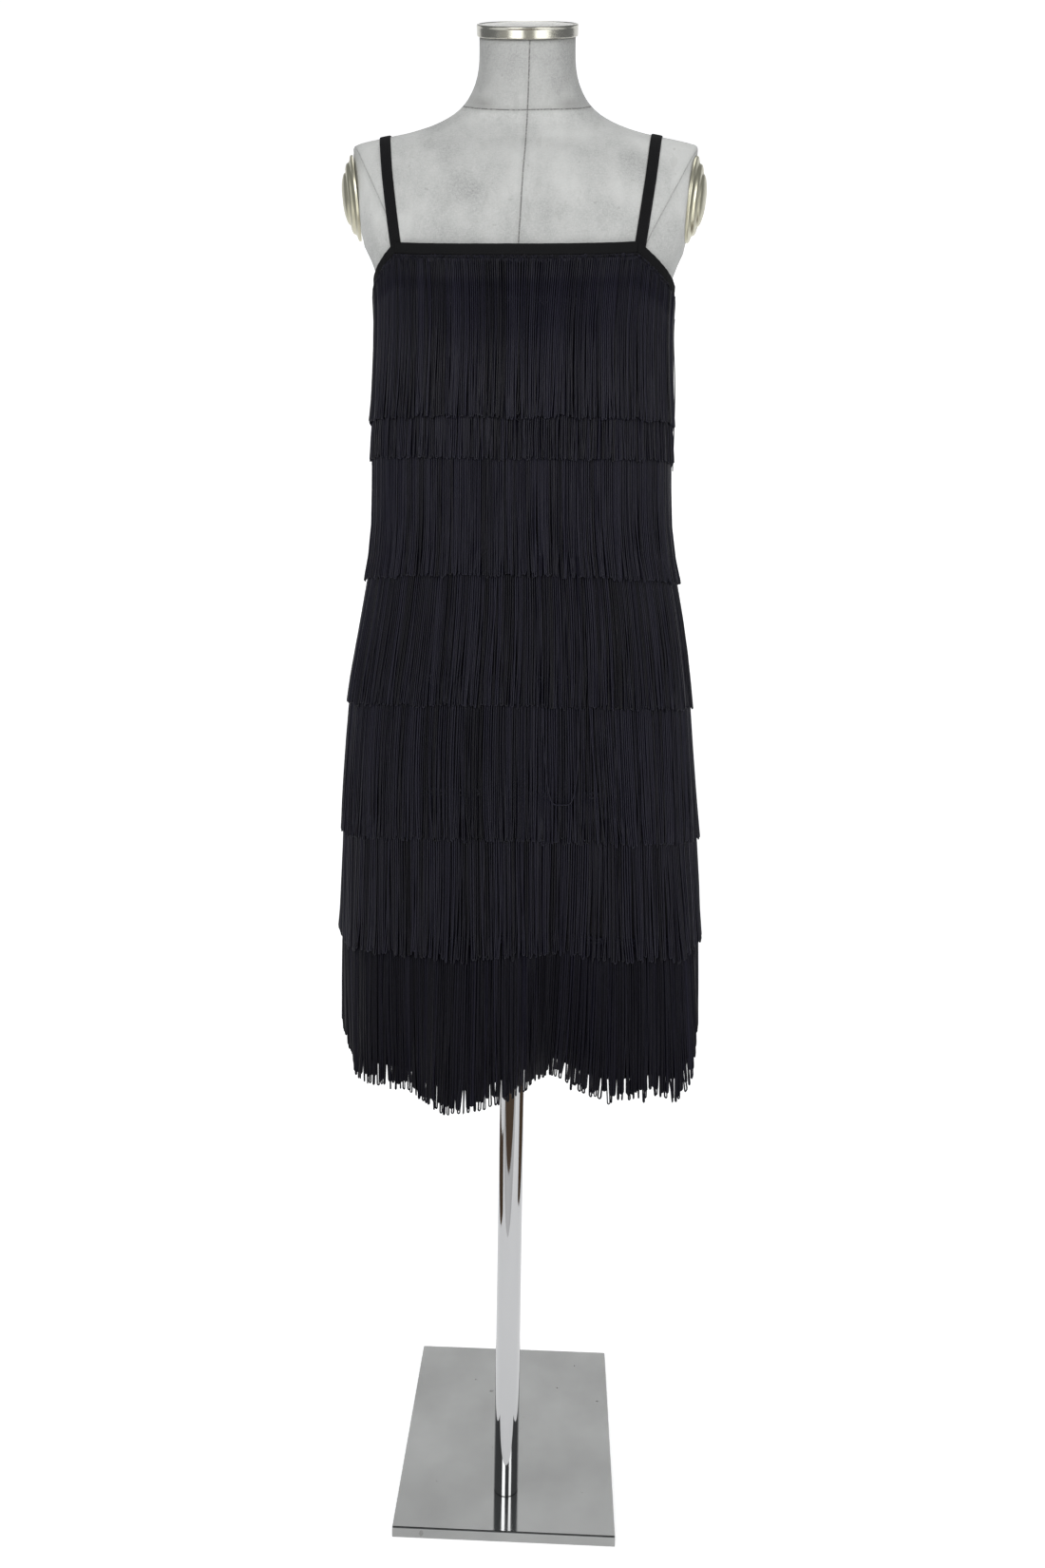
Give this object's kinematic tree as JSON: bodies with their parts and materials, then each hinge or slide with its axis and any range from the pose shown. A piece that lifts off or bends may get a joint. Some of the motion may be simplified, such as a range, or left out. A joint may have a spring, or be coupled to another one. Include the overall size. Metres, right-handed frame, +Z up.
{
  "type": "flapper dress on a dress form",
  "caption": "Sleeveless straight dress covered in hanging tiers of fringe, on a limbless dress form with a neck cap, arm plates, a pole and a flat base.",
  "frame": {"origin": "on the floor, under the axis of the pole", "axes": "+Z up along the pole, -Y towards the front of the dress, +X to the viewer's right as seen from the front"},
  "size_m": [0.4263, 0.3734, 1.7098],
  "materials": {
    "cloth": "matte black knit and woven bands",
    "fringe": "black thread with a soft sheen",
    "form_cover": "matte light grey fabric stretched over the form",
    "brushed_nickel": "brushed warm nickel",
    "chrome": "polished",
    "steel_plate": "satin to polished plate"
  },
  "bodies": {
    "stand": {"base_plate": "steel_plate", "pole": "chrome"},
    "figure": {"form_torso": "form_cover", "neck_cap": "brushed_nickel", "arm_plate_right": "brushed_nickel", "arm_plate_left": "brushed_nickel", "body_front": "cloth", "body_back": "cloth", "binding_front": "cloth", "binding_arm_right": "cloth", "binding_back": "cloth", "binding_arm_left": "cloth", "strap_right": "cloth", "strap_left": "cloth", "fringe_1": "fringe", "fringe_2": "fringe", "fringe_3": "fringe", "fringe_4": "fringe", "fringe_5": "fringe", "fringe_6": "fringe", "fringe_7": "fringe"}
  },
  "joints": [
    {"name": "form_turn", "type": "hinge", "parent": "stand", "child": "figure", "pos_m": [0, 0, 0.86], "axis": [0, 0, 1], "continuous": true}
  ]
}
